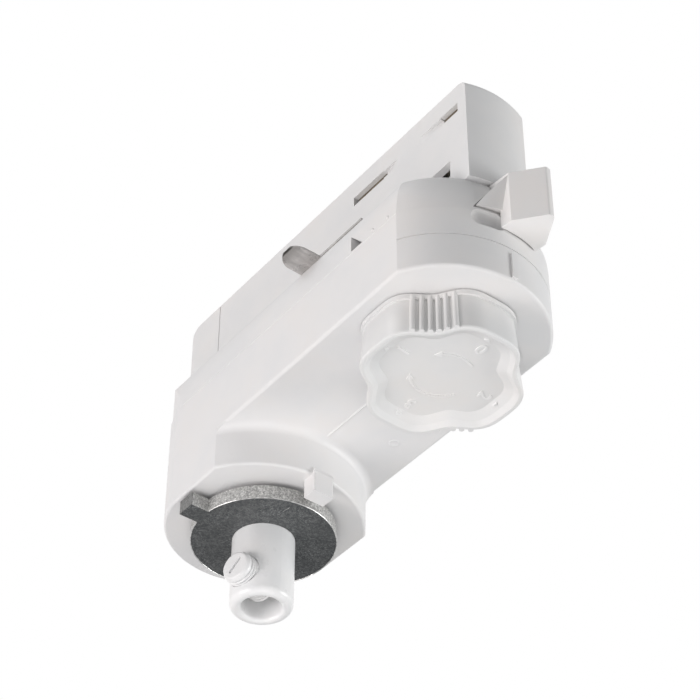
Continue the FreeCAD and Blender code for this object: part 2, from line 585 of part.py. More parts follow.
def earth_strip():
    """Flat strip across the housing's top whose two tongues curl up a little at their tips."""
    z0 = HOUSING_TOP
    t = STRIP_THICK
    turn = (TONGUE_REACH - TONGUE_BEND) / TONGUE_CURL
    end = math.asin(min(0.98, turn))
    flat = box(STRIP_X0, STRIP_X0 + STRIP_WIDTH, -TONGUE_BEND, TONGUE_BEND, z0, z0 + t)
    pieces = [flat]
    for side in (-1, 1):
        def at(r, a):
            return Vector(STRIP_X0, side * (TONGUE_BEND + r * math.sin(a)), z0 + t + TONGUE_CURL - r * math.cos(a))
        inner = TONGUE_CURL
        outer = TONGUE_CURL + t
        edges = [
            Part.Arc(at(outer, 0), at(outer, end / 2), at(outer, end)).toShape(),
            Part.LineSegment(at(outer, end), at(inner, end)).toShape(),
            Part.Arc(at(inner, end), at(inner, end / 2), at(inner, 0)).toShape(),
            Part.LineSegment(at(inner, 0), at(outer, 0)).toShape(),
        ]
        pieces.append(Part.Face(Part.Wire(edges)).extrude(Vector(STRIP_WIDTH, 0, 0)))
    body = pieces[0].fuse(pieces[1:])
    wing_edge = HALF_WIDTH - SHOULDER_INSET + WING_OVERHANG
    wings = [box(STRIP_X0 + STRIP_WIDTH - 1, WING_NEAR_X, -wing_edge, -wing_edge + WING_WIDTH, z0, z0 + WING_THICK),
             box(STRIP_X0 + STRIP_WIDTH - 1, WING_FAR_X, wing_edge - WING_WIDTH, wing_edge, z0, z0 + WING_THICK)]
    reach = TONGUE_BEND + (TONGUE_CURL + t) * math.sin(end)
    plan = box(STRIP_X0, STRIP_X0 + STRIP_WIDTH, -reach, reach, z0 - 1, z0 + 6)
    upright = [e for e in plan.Edges if e.BoundBox.ZLength > 1]
    plan = plan.makeFillet(TONGUE_CORNER, upright)
    body = body.common(plan).fuse(wings)
    return body.cut(rod(SCREW_RADIUS + TURN_GAP, z0 - 1, z0 + 6, Vector(STRIP_X0 + STRIP_WIDTH / 2, 0, 0)))


def arm_gusset(x_in, x_side):
    """Web on the arm's near side, from the notch's slanted edge out to the tab's upper corner."""
    top = HOUSING_TOP - RUN_GAP
    wires = []
    roots = []
    for z in (ARM_BASE, top):
        angle = NOTCH_NEAR - LEVER_REST + NOTCH_SLANT * (z - POCKET_FLOOR) / (HOUSING_TOP - POCKET_FLOOR)
        a = math.radians(angle)
        back = Vector(-math.sin(a), math.cos(a), 0) * RUN_GAP
        x, y = polar(HEAD_RADIUS + GUSSET_REACH, angle)
        points = [Vector(KNOB_X, 0, z) + back, Vector(x, y, z) + back, Vector(x, 0, z)]
        wires.append(Part.makePolygon(points + points[:1]))
        x, y = polar(HEAD_RADIUS, angle)
        roots.append(Vector(x, y, z) + back)
    web = Part.makeLoft(wires, True, True)
    along = (Vector(x_in, -ARM_HALF, ARM_BASE) - roots[0]).normalize()
    outward = along.cross(Vector(x_side, -ARM_HALF, top) - roots[0]).normalize()
    across = outward.cross(along)
    corners = [roots[0] + along * u + across * v for u, v in ((-60, -60), (60, -60), (60, 60), (-60, 60))]
    outside = Part.Face(Part.makePolygon(corners + corners[:1])).extrude(outward * 60)
    return web.cut(outside)


def locking_lever():
    hub = rod(HUB_RADIUS, ARM_BASE, HOUSING_TOP - RUN_GAP, AXIS)
    x_in = KNOB_X + HEAD_RADIUS + RUN_GAP
    arm = box(KNOB_X, x_in + 1.5, -ARM_HALF, ARM_HALF, ARM_BASE, HOUSING_TOP - RUN_GAP)
    tip = KNOB_X + TAB_REACH_OUT
    side = KNOB_X + TAB_SHOULDER
    tab = prism([(x_in - 1, -ARM_HALF), (side, -ARM_HALF), (tip, -TAB_BLUNT), (tip, TAB_BLUNT),
                 (side, ARM_HALF), (x_in - 1, ARM_HALF)], TAB_BOTTOM, HOUSING_TOP - RUN_GAP)
    upright = [e for e in tab.Edges if e.BoundBox.ZLength > 1 and e.BoundBox.XMin > tip - 0.1]
    tab = tab.makeFillet(0.5, upright)
    wall_clear = rod(HEAD_RADIUS + RUN_GAP, TAB_BOTTOM - 1, POCKET_FLOOR + 0.6, AXIS)
    body = hub.fuse([arm, tab.cut(wall_clear), arm_gusset(x_in, side)])
    body = turned(body, LEVER_REST)
    return body.cut(drive_hole(TURN_GAP / 2, 0, HOUSING_TOP + 1))


def drive_hole(gap, z0, z1):
    """Square drive between the lever's hub and the cam's spindle."""
    half = CAM_SPINDLE * 0.9 + gap
    square = box(KNOB_X - half, KNOB_X + half, -half, half, z0, z1)
    return square.common(rod(CAM_SPINDLE + gap, z0, z1, AXIS))


def locking_cam():
    square = drive_hole(0.0, ARM_BASE, HOUSING_TOP - RUN_GAP)
    spindle = rod(CAM_SPINDLE, HOUSING_TOP - RUN_GAP, CAM_WINDOW_TOP - 0.4, AXIS)
    neck = rod(CAM_SPINDLE * 0.9 - 0.1, POCKET_FLOOR - WALL - 1.4, ARM_BASE, AXIS)
    wings = box(KNOB_X - CAM_TIP, KNOB_X + CAM_TIP, -CAM_HALF, CAM_HALF, CAM_WINDOW_BASE + 0.4, CAM_WINDOW_TOP - 0.4)
    wings = wings.common(rod(CAM_TIP, 0, FAR, AXIS))
    body = square.fuse([spindle, neck, wings])
    return body.cut(rod(SHAFT_RADIUS + TURN_GAP, 0, FAR, AXIS))


def lever_ring():
    z1 = POCKET_FLOOR - WALL - 0.2
    outer = CAM_SPINDLE + 1.6
    inner = CAM_SPINDLE * 0.9 - 0.1
    return tube(outer, inner, z1 - 1.0, z1, AXIS)


def knob_radius(angle, share):
    """Radius of the four-lobed wall: share 0 at the base, 1 at the face."""
    a = math.radians(angle)
    mean = KNOB_BASE_MEAN + share * (KNOB_FACE_MEAN - KNOB_BASE_MEAN)
    lobe = KNOB_BASE_LOBE + share * (KNOB_FACE_LOBE - KNOB_BASE_LOBE)
    return mean + lobe * math.cos(4 * a) - KNOB_FLAT * math.cos(8 * a)


def knob_outline(share, grow, z):
    """Four-lobed outline as one closed smooth curve."""
    points = []
    for k in range(48):
        x, y = polar(knob_radius(k * 7.5, share) + grow, k * 7.5)
        points.append(Vector(x, y, z))
    curve = Part.BSplineCurve()
    curve.interpolate(Points=points, PeriodicFlag=True)
    return Part.Wire([curve.toShape()])


def grip_rib(angle, z0, z1):
    foot = Vector(*polar(knob_radius(angle, 0) + GRIP_RIB_RISE, angle), z1)
    nose = Vector(*polar(knob_radius(angle, 1) + GRIP_RIB_RISE, angle), z0)
    return Part.makeCylinder(GRIP_RIB_RADIUS, (nose - foot).Length, foot, nose - foot)


def face_dish():
    """Shallow hollow of the knob's face, in which the dial stands."""
    z0 = -KNOB_DROP
    levels = ((0.0, -0.01), (0.35, 0.5), (1.0, 1.0))
    wires = [knob_outline(1, -DISH_MARGIN - share * DISH_SLOPE, z0 + depth * DISH_DEPTH) for share, depth in levels]
    return Part.makeLoft(wires, True, True)


def selector_knob():
    z1 = -RUN_GAP
    z0 = -KNOB_DROP
    lip = Part.Face(knob_outline(0, KNOB_BASE_LIP, z1 - 1.0)).extrude(Vector(0, 0, 1.0))
    body = Part.makeLoft([knob_outline(0, 0.0, z1 - 0.9), knob_outline(1, 0.0, z0 + KNOB_EDGE)], True, True)
    edge = Part.makeLoft([knob_outline(1, 0.0, z0 + KNOB_EDGE), knob_outline(1, -KNOB_EDGE * 0.3, z0 + KNOB_EDGE * 0.3),
                          knob_outline(1, -KNOB_EDGE, z0)], True, True)
    body = body.fuse([lip, edge]).cut(face_dish())
    ribs = []
    for side in (-45, 135):
        for k in range(GRIP_RIBS):
            ribs.append(grip_rib(side + (k - (GRIP_RIBS - 1) / 2) * GRIP_STEP, z0 + 0.1, z1 - 0.4))
    body = body.fuse(ribs)
    neck = rod(NECK_RADIUS, z1 - 0.1, FLOOR + 0.2, AXIS)
    body = body.fuse(neck)
    return body.cut(shaft_core(TURN_GAP / 2, -6.0, FLOOR + 5))


def shaft_core(gap, z0, z1):
    """Round shaft with one flat, which turns the knob and the shaft together."""
    core = rod(SHAFT_RADIUS + gap, z0, z1, AXIS)
    return core.cut(box(KNOB_X + SHAFT_RADIUS * 0.8 + gap, KNOB_X + SHAFT_RADIUS * 2, -FAR, FAR, z0 - 1, z1 + 1))


def knob_flange():
    z0 = FLOOR + 0.2
    body = rod(FLANGE_RADIUS, z0, z0 + FLANGE_THICK, AXIS)
    for quarter in range(4):
        x, y = polar(FLANGE_RADIUS + 0.5, 45 + 90 * quarter)
        body = body.cut(rod(1.3, z0 - 1, z0 + FLANGE_THICK + 1, Vector(x, y, 0)))
    return body.cut(shaft_core(TURN_GAP / 2, z0 - 1, z0 + FLANGE_THICK + 1))


def selector_shaft():
    keyed = shaft_core(0.0, -6.0 + TURN_GAP, FLOOR + 0.2 + FLANGE_THICK + 0.5)
    top = INSERT_TOP - INSERT_WALL - TURN_GAP
    round_part = rod(SHAFT_RADIUS, FLOOR + 0.2 + FLANGE_THICK + 0.5, top, AXIS)
    return keyed.fuse(round_part)


def contact_rotor():
    z0 = WINDOW_BASE - 0.6
    z1 = WINDOW_TOP + 0.6
    middle = (z0 + z1) / 2
    body = rod(ROTOR_RADIUS, z0 - 1.2, z1, AXIS)
    lobes = ((180, z0, middle), (0, middle, z1))
    for angle, low, high in lobes:
        x, y = polar(LOBE_RADIUS - 1.6, angle)
        body = body.fuse(rod(1.6, low, high, Vector(x, y, 0)))
    return body.cut(rod(SHAFT_RADIUS, 0, FAR, AXIS))


def blade_levels(end):
    """Heights of a blade's waist: the two blades of one side cross the rotor one above the other."""
    low = WINDOW_BASE + 0.1
    high = WINDOW_TOP - 0.1
    middle = (low + high) / 2
    return (low, middle - 0.1) if end > 0 else (middle + 0.1, high)


def blade(end, side):
    """Spring blade along the inside of the wall: root, narrow waist at the rotor, nose in its window."""
    window = HEAD_WINDOW if end > 0 else TAIL_WINDOW
    root = HEAD_BLADE_ROOT if end > 0 else TAIL_BLADE_ROOT
    low, high = blade_levels(end)
    y0, y1 = sorted((side * BLADE_Y, side * (BLADE_Y + BLADE_THICK)))
    x_root = KNOB_X - end * root
    x_mid = KNOB_X + end * (window[0] + 0.2)
    x_tip = KNOB_X + end * (window[1] - 0.4)
    waist = box(min(x_root, x_mid), max(x_root, x_mid), y0, y1, low, high)
    n0, n1 = sorted((side * BLADE_Y, side * BLADE_NOSE))
    nose = box(min(x_mid, x_tip), max(x_mid, x_tip), n0, n1, WINDOW_BASE + 0.1, WINDOW_TOP - 0.1)
    return waist.fuse(nose)


def contact_holder():
    """Insulating blocks with slots for the blade roots, one on each side of the rotor."""
    blocks = []
    spans = ((KNOB_X - HEAD_BLADE_ROOT, KNOB_X - HEAD_BLADE_ROOT + 1.6),
             (KNOB_X + TAIL_BLADE_ROOT - 2.8, KNOB_X + TAIL_BLADE_ROOT))
    for x0, x1 in spans:
        block = box(x0, x1, -INSERT_INNER, INSERT_INNER, WINDOW_BASE - 3.0, INSERT_TOP - INSERT_WALL)
        for side in (-1, 1):
            for end in (-1, 1):
                low, high = blade_levels(end)
                y0, y1 = sorted((side * BLADE_Y, side * FAR))
                block = block.cut(box(x0 - 1, x1 + 1, y0, y1, low, high))
        blocks.append(block)
    return Part.makeCompound(blocks)


def terminal_block():
    body = box(BLOCK_X0, BLOCK_X1, -BLOCK_HALF, BLOCK_HALF, FLOOR, BLOCK_TOP)
    pitch = 2 * BLOCK_HALF / BLOCK_WAYS
    for k in range(BLOCK_WAYS):
        y = -BLOCK_HALF + pitch * (k + 0.5)
        wire_way = Part.makeCylinder(1.5, BLOCK_X1 - BLOCK_X0 + 2, Vector(BLOCK_X0 - 1, y, FLOOR + 5), Vector(1, 0, 0))
        body = body.cut(wire_way)
        body = body.cut(rod(SCREW_HEAD, BLOCK_TOP - 2.6, BLOCK_TOP + 1, Vector(BLOCK_X0 + 6, y, 0)))
        body = body.cut(rod(SCREW_RADIUS, FLOOR + 5, BLOCK_TOP, Vector(BLOCK_X0 + 6, y, 0)))
        if k:
            y_groove = y - pitch / 2
            body = body.cut(box(BLOCK_X0 - 1, BLOCK_X0 + 12, y_groove - 0.4, y_groove + 0.4,
                                BLOCK_TOP - 3, BLOCK_TOP + 1))
    return body


def terminal_screws():
    pitch = 2 * BLOCK_HALF / BLOCK_WAYS
    made = []
    for k in range(BLOCK_WAYS):
        y = -BLOCK_HALF + pitch * (k + 0.5)
        made.append(screw(BLOCK_X0 + 6, y, BLOCK_TOP - 2.6, TERMINAL_SCREW_LENGTH, up=False))
    return Part.makeCompound(made)


def case_screws():
    made = [screw(x, y, HOUSING_TOP - SCREW_HEAD_THICK, CASE_SCREW_LENGTH, up=False)
            for x in CASE_SCREW_X for y in (-CASE_SCREW_Y, CASE_SCREW_Y)]
    return Part.makeCompound(made)


def insert_screws():
    made = [screw(x, 0, HOUSING_TOP - TOP_PLATE, INSERT_SCREW_LENGTH, up=True) for x in INSERT_SCREW_X]
    return Part.makeCompound(made)


def earth_screw():
    return screw(STRIP_X0 + STRIP_WIDTH / 2, 0, HOUSING_TOP - TOP_PLATE, INSERT_SCREW_LENGTH, up=True)


def detent_spring():
    """Leaf on the cover's floor with a nose beside the flange's notch."""
    z0 = FLOOR
    z1 = FLOOR + DETENT_HEIGHT
    x_nose, y_nose = polar(FLANGE_RADIUS + RUN_GAP + 0.9, 135)
    nose = rod(0.9, z0, z1, Vector(x_nose, y_nose, 0))
    x_foot = x_nose - DETENT_LENGTH
    leaf = box(x_foot, x_nose + 0.2, y_nose + 0.9 - DETENT_THICK, y_nose + 0.9, z0, z1)
    foot = box(x_foot, x_foot + DETENT_THICK, y_nose - 3.0, y_nose + 0.9, z0, z1)
    return nose.fuse([leaf, foot])


def build():
    return {
        "upper_housing": upper_housing(),
        "lower_cover": lower_cover(),
        "insert_body": insert_body(),
        "insert_end_cap": insert_end_cap(),
        "earth_strip": earth_strip(),
        "locking_lever": locking_lever(),
        "locking_cam": locking_cam(),
        "lever_ring": lever_ring(),
        "selector_knob": selector_knob(),
        "knob_flange": knob_flange(),
        "selector_shaft": selector_shaft(),
        "contact_rotor": contact_rotor(),
        "phase_contact_1": blade(1, -1),
        "phase_contact_2": blade(-1, -1),
        "phase_contact_3": blade(1, 1),
        "neutral_contact": blade(-1, 1),
        "contact_holder": contact_holder(),
        "terminal_block": terminal_block(),
        "terminal_screws": terminal_screws(),
        "pendant_washer": pendant_washer(),
        "cord_grip_nozzle": cord_grip_nozzle(),
        "cord_screw": cord_screw(),
        "grip_lock_nut": grip_lock_nut(),
        "case_screws": case_screws(),
        "insert_screws": insert_screws(),
        "earth_screw": earth_screw(),
        "detent_spring": detent_spring(),
    }


os.makedirs("parts", exist_ok=True)
for name, shape in build().items():
    clean = shape.removeSplitter() if shape.ShapeType != "Compound" or len(shape.Solids) == 1 else shape
    clean.translate(Vector(0, 0, -HOUSING_TOP))
    clean.exportStep("parts/" + name + ".step")
    print(name, len(clean.Solids), clean.isValid(), round(clean.Volume, 1))
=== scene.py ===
import bpy
import bmesh
import math
from mathutils import Matrix, Vector


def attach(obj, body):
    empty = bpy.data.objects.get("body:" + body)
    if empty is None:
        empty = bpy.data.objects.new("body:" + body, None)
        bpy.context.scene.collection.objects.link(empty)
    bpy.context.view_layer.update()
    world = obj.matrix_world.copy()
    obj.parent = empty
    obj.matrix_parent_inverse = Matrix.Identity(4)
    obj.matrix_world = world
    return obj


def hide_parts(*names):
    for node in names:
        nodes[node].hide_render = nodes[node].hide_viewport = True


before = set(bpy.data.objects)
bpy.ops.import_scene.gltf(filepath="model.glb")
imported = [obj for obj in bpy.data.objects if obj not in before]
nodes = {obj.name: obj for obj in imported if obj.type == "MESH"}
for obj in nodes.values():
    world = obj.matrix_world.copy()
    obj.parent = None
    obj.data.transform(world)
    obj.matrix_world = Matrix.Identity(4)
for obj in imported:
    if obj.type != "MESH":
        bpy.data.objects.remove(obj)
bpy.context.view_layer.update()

# The view: the adapter hangs in its own frame and the camera looks up at it from below, from the
# knob's end and the near side, with a long lens.
view_eye = Vector((0.271859, -0.188133, -0.279687))
view_right = Vector((0.610803, 0.791781, 0.001598))
view_up = Vector((0.523363, -0.405250, 0.749575))
view_back = Vector((0.594147, -0.457007, -0.661917))
camera_data = bpy.data.cameras.new("view")
camera_data.lens = 108.459
camera_data.sensor_width = 36.0
camera_data.clip_end = 20.0
camera = bpy.data.objects.new("view", camera_data)
camera.matrix_world = Matrix((
    (view_right.x, view_up.x, view_back.x, view_eye.x),
    (view_right.y, view_up.y, view_back.y, view_eye.y),
    (view_right.z, view_up.z, view_back.z, view_eye.z),
    (0, 0, 0, 1)))
bpy.context.scene.collection.objects.link(camera)
bpy.context.scene.camera = camera
bpy.context.scene.view_settings.view_transform = "Standard"


# The studio: a pale floor well under the hanging adapter, white wherever the camera sees past it,
# and round soft lamps: strong ones on the near side and at the knob's end, weak ones below, and
# one above.
def new_material(name):
    material = bpy.data.materials.new(name)
    material.use_nodes = True
    material.node_tree.nodes.clear()
    return material


def feed(tree, source, socket):
    """Links a socket to an input, or sets the input to a plain number or colour."""
    if isinstance(source, bpy.types.NodeSocket):
        tree.links.new(source, socket)
    elif isinstance(source, tuple):
        socket.default_value = (*source, 1)
    else:
        socket.default_value = source


def arithmetic(tree, operation, *sources):
    node = tree.nodes.new("ShaderNodeMath")
    node.operation = operation
    for source, socket in zip(sources, node.inputs):
        feed(tree, source, socket)
    return node.outputs[0]


floor_z = -0.42
floor_reach = 4
floor_corners = ((-1, -1), (1, -1), (1, 1), (-1, 1))
floor_mesh = bpy.data.meshes.new("studio_floor")
floor_mesh.from_pydata([(x * floor_reach, y * floor_reach, floor_z) for x, y in floor_corners],
                       [], [(0, 1, 2, 3)])
floor = bpy.data.objects.new("studio_floor", floor_mesh)
bpy.context.scene.collection.objects.link(floor)
floor_paint = new_material("pale_floor")
floor_tree = floor_paint.node_tree
floor_coat = floor_tree.nodes.new("ShaderNodeBsdfDiffuse")
floor_coat.inputs["Color"].default_value = (0.80, 0.80, 0.80, 1)
floor_out = floor_tree.nodes.new("ShaderNodeOutputMaterial")
floor_tree.links.new(floor_coat.outputs[0], floor_out.inputs[0])
floor_mesh.materials.append(floor_paint)

world = bpy.data.worlds.new("studio")
bpy.context.scene.world = world
world.use_nodes = True
sky = world.node_tree
sky.nodes.clear()
fill = sky.nodes.new("ShaderNodeBackground")
fill.inputs["Color"].default_value = (0.985, 0.99, 1.0, 1)
fill.inputs["Strength"].default_value = 0.28
backdrop = sky.nodes.new("ShaderNodeBackground")
backdrop.inputs["Color"].default_value = (1, 1, 1, 1)
backdrop.inputs["Strength"].default_value = 1.0
path = sky.nodes.new("ShaderNodeLightPath")
seen = arithmetic(sky, "MAXIMUM", path.outputs["Is Camera Ray"], path.outputs["Is Glossy Ray"])
seen = arithmetic(sky, "MAXIMUM", seen, path.outputs["Is Transmission Ray"])
choice = sky.nodes.new("ShaderNodeMixShader")
sky_out = sky.nodes.new("ShaderNodeOutputWorld")
sky.links.new(seen, choice.inputs[0])
sky.links.new(fill.outputs[0], choice.inputs[1])
sky.links.new(backdrop.outputs[0], choice.inputs[2])
sky.links.new(choice.outputs[0], sky_out.inputs[0])

part_middle = Vector((0.03, 0, -0.01))


def soft_lamp(name, azimuth, height, distance, size, power, colour=(1, 1, 1)):
    """Round lamp at a compass angle and a height angle from the part's middle, aimed at it."""
    turn, rise = math.radians(azimuth), math.radians(height)
    flat = math.cos(rise) * distance
    place = part_middle + Vector((flat * math.cos(turn), flat * math.sin(turn),
                                  distance * math.sin(rise)))
    data = bpy.data.lights.new(name, "AREA")
    data.shape = "DISK"
    data.size = size
    data.energy = power
    data.color = colour
    lamp = bpy.data.objects.new(name, data)
    lamp.location = place
    lamp.rotation_euler = (part_middle - place).to_track_quat("-Z", "Y").to_euler()
    bpy.context.scene.collection.objects.link(lamp)


soft_lamp("lamp_near", -102, -24, distance=0.60, size=0.32, power=2.02, colour=(1, 0.955, 0.95))
soft_lamp("lamp_end", 48, -12, distance=0.60, size=0.28, power=1.95)
soft_lamp("lamp_below", -80, -71, distance=0.285, size=0.20, power=0.092)
soft_lamp("lamp_right", -30, -55, distance=0.30, size=0.20, power=0.10)
soft_lamp("lamp_top", -100, 58, distance=0.60, size=0.40, power=0.60)


# The two halves of the housing and the two parts of the insert: white glass-filled plastic,
# injection moulded with a fine satin grain, held together by screws from the track side.
def noise(tree, coords, scale, detail=2.0, blend=0.5):
    texture = tree.nodes.new("ShaderNodeTexNoise")
    texture.inputs["Scale"].default_value = scale
    texture.inputs["Detail"].default_value = detail
    texture.inputs["Roughness"].default_value = blend
    tree.links.new(coords, texture.inputs["Vector"])
    return texture.outputs["Fac"]


def ramp(tree, source, stops):
    """A value turned into tones: each stop is a position and a colour, or one number for a grey."""
    steps = tree.nodes.new("ShaderNodeValToRGB")
    elements = steps.color_ramp.elements
    while len(elements) < len(stops):
        elements.new(0.5)
    for element, (position, colour) in zip(elements, stops):
        element.position = position
        element.color = (*colour, 1) if isinstance(colour, tuple) else (colour, colour, colour, 1)
    tree.links.new(source, steps.inputs["Fac"])
    return steps.outputs["Color"]


def spread(tree, source, low, high, start=0.3, end=0.7):
    """The values start to end of a source, stretched to the values low to high."""
    node = tree.nodes.new("ShaderNodeMapRange")
    node.inputs["From Min"].default_value = start
    node.inputs["From Max"].default_value = end
    node.inputs["To Min"].default_value = low
    node.inputs["To Max"].default_value = high
    tree.links.new(source, node.inputs["Value"])
    return node.outputs["Result"]


def blend_colour(tree, factor, first, second):
    node = tree.nodes.new("ShaderNodeMix")
    node.data_type = "RGBA"
    for source, socket in ((factor, 0), (first, 6), (second, 7)):
        feed(tree, source, node.inputs[socket])
    return node.outputs[2]


def bump(tree, height, depth, normal=None):
    node = tree.nodes.new("ShaderNodeBump")
    node.inputs["Strength"].default_value = 1.0
    node.inputs["Distance"].default_value = depth
    tree.links.new(height, node.inputs["Height"])
    if normal is not None:
        tree.links.new(normal, node.inputs["Normal"])
    return node.outputs["Normal"]


def finish_surface(tree, colour, roughness, normal, metallic=0.0, specular=0.5):
    shader = tree.nodes.new("ShaderNodeBsdfPrincipled")
    shader.inputs["Metallic"].default_value = metallic
    shader.inputs["Specular IOR Level"].default_value = specular
    tree.links.new(colour, shader.inputs["Base Color"])
    tree.links.new(roughness, shader.inputs["Roughness"])
    tree.links.new(normal, shader.inputs["Normal"])
    output = tree.nodes.new("ShaderNodeOutputMaterial")
    tree.links.new(shader.outputs[0], output.inputs[0])


def object_coords(tree, stretch=(1, 1, 1)):
    place = tree.nodes.new("ShaderNodeTexCoord")
    mapping = tree.nodes.new("ShaderNodeMapping")
    mapping.inputs["Scale"].default_value = stretch
    tree.links.new(place.outputs["Object"], mapping.inputs["Vector"])
    return mapping.outputs["Vector"]


warm_shift = (0.010, -0.004, -0.016)
cool_shift = (-0.008, 0.0, 0.008)
speck_share = 0.16
speck_tone = 0.72


def moulded_plastic(name, colour, roughness, grain=1.0, cloud=0.022, flow=(1, 1, 1)):
    """Moulded resin: faint clouds of tone, dust specks, flow ripples and the tool's spark grain."""
    material = new_material(name)
    tree = material.node_tree
    coords = object_coords(tree)
    clouds = noise(tree, coords, 70.0, 4.0, 0.55)
    warm = tuple(c * (1.0 + shift) for c, shift in zip(colour, warm_shift))
    cool = tuple(c * (1.0 - cloud + shift) for c, shift in zip(colour, cool_shift))
    tone = ramp(tree, clouds, [(0.36, cool), (0.52, colour), (0.68, warm)])
    specks = ramp(tree, noise(tree, coords, 1500.0, 1.0), [(0.76, 0), (0.82, 1)])
    tone = blend_colour(tree, arithmetic(tree, "MULTIPLY", specks, speck_share), tone,
                        tuple(c * speck_tone for c in colour))
    streaks = noise(tree, object_coords(tree, flow), 160.0, 3.0, 0.6)
    normal = bump(tree, streaks, 0.000028 * grain)
    normal = bump(tree, noise(tree, coords, 5200.0, 2.0, 0.6), 0.000016 * grain, normal)
    gloss = spread(tree, noise(tree, coords, 240.0, 3.0), roughness - 0.05, roughness + 0.07)
    finish_surface(tree, tone, gloss, normal)
    return material


def dress(material, *names):
    for name in names:
        node = nodes[name]
        node.data.materials.clear()
        node.data.materials.append(material)


housing_finish = moulded_plastic("housing_plastic", (0.795, 0.79, 0.788), 0.44, flow=(0.35, 1, 1))
dress(housing_finish, "upper_housing", "lower_cover")
insert_finish = moulded_plastic("insert_plastic", (0.80, 0.795, 0.79), 0.42, flow=(0.3, 1, 1))
dress(insert_finish, "insert_body", "insert_end_cap")


# Small marks that the mould leaves on the housing: two gate pips on the near wall beside the catch
# pocket, an ejector ring on the underside, and the fine parting ridge between boss and knob.
def new_object(name, mesh):
    thing = bpy.data.objects.new(name, mesh)
    bpy.context.scene.collection.objects.link(thing)
    return thing


def mesh_object(name, build):
    """A mesh drawn by a function into an empty bmesh, with its faces turned outwards."""
    shape = bmesh.new()
    build(shape)
    bmesh.ops.remove_doubles(shape, verts=shape.verts, dist=1e-6)
    bmesh.ops.recalc_face_normals(shape, faces=shape.faces)
    mesh = bpy.data.meshes.new(name)
    shape.to_mesh(mesh)
    shape.free()
    return new_object(name, mesh)


def lathe(shape, profile, steps, axis=Vector((0, 0, 1)), start=Vector((0, 0, 0))):
    """Turns (distance along the axis, radius) pairs round the axis into a closed shell."""
    side = axis.orthogonal().normalized()
    across = axis.cross(side).normalized()
    rings = []
    for along, radius in profile:
        centre = start + axis * along
        if radius == 0:
            rings.append([shape.verts.new(centre)])
            continue
        ring = []
        for k in range(steps):
            a = 2 * math.pi * k / steps
            out = side * math.cos(a) + across * math.sin(a)
            ring.append(shape.verts.new(centre + out * radius))
        rings.append(ring)
    for first, second in zip(rings, rings[1:]):
        for k in range(steps):
            corners = [first[k % len(first)], first[(k + 1) % len(first)],
                       second[(k + 1) % len(second)], second[k % len(second)]]
            unique = list(dict.fromkeys(corners))
            if len(unique) > 2:
                shape.faces.new(unique)


def skin(shape, sections):
    """Joins outlines of equal length, one after another, and closes both ends."""
    rings = [[shape.verts.new(point) for point in section] for section in sections]
    for first, second in zip(rings, rings[1:]):
        for k in range(len(first)):
            n = (k + 1) % len(first)
            shape.faces.new((first[k], first[n], second[n], second[k]))
    shape.faces.new(rings[0])
    shape.faces.new(reversed(rings[-1]))


underside = -0.0244
pip_radius = 0.00042
pip_outward = Vector((0, -1, 0.03)).normalized()
pip_places = [(0.0572, -0.01797, 0.0158 + underside), (0.0616, -0.01797, 0.0155 + underside)]


def draw_pips(shape):
    profile = [(-pip_radius, 0), (-pip_radius, pip_radius), (0.0, pip_radius),
               (pip_radius * 0.35, pip_radius * 0.8), (pip_radius * 0.55, 0)]
    for place in pip_places:
        lathe(shape, profile, 16, pip_outward, Vector(place))


pips = mesh_object("gate_pips", draw_pips)

ejector_centre = Vector((0.0264, 0.0114, underside))
ejector_profile = [(-0.0004, 0), (-0.0004, 0.0011), (0.00004, 0.0011), (0.00008, 0.00095),
                   (0.00003, 0.00080), (0.00003, 0.0)]
ejector = mesh_object("ejector_ring", lambda shape: lathe(
    shape, ejector_profile, 28, Vector((0, 0, -1)), ejector_centre))

ridge_ends = (0.0203, 0.0397)
ridge_profile = ((-0.00032, 0.0003), (-0.00028, -0.00006), (0.0, -0.00016), (0.00028, -0.00006),
                 (0.00032, 0.0003))
ridge = mesh_object("parting_ridge", lambda shape: skin(
    shape, [[(x, y, underside + z) for y, z in ridge_profile] for x in ridge_ends]))
for mark in (pips, ejector, ridge):
    for face in mark.data.polygons:
        face.use_smooth = mark is not ridge
    mark.data.materials.append(housing_finish)
    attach(mark, "adapter")


# The selector knob and the locking lever: white plastic with a slightly smoother finish, because
# fingers and the mould's polish reach them. The retaining ring inside is the same resin.
knob_finish = moulded_plastic("knob_plastic", (0.80, 0.797, 0.79), 0.36, 0.7, 0.028)
dress(knob_finish, "selector_knob", "knob_flange")
dress(moulded_plastic("lever_plastic", (0.85, 0.842, 0.835), 0.38, 0.8, 0.03), "locking_lever")

# The dial on the knob's dished face: raised in the mould, two arrows that run round the middle,
# four plain numbers, and at each lobe a small triangle that is set against the index rib.
knob_x = 0.0544
knob_rim = -0.0095 + underside
dish_depth = 0.0017
dish_floor = knob_rim + dish_depth
mark_rise = 0.00014
mark_bevel = 0.00006
mark_sink = 0.0004
arrow_radius = 0.0058
arrow_half_width = 0.00028
arrow_steps = 22
head_half_width = 0.00075
head_turn = 14
head_overlap = 1
arrow_spans = ((-40, 28), (-136, -242))


def dial_point(radius, angle, z):
    a = math.radians(angle)
    return Vector((knob_x + radius * math.cos(a), radius * math.sin(a), z))


def raised_patch(shape, ring_points):
    """A low block on the dial's floor, with its sides bevelled, from (radius, angle) corners."""
    outline = [dial_point(radius, angle, dish_floor - mark_rise) for radius, angle in ring_points]
    middle = sum(outline, Vector((0, 0, 0))) / len(outline)
    crown = [point + (middle - point).normalized() * mark_bevel for point in outline]
    foot = [point + Vector((0, 0, mark_rise + mark_sink)) for point in outline]
    skin(shape, [crown, foot])


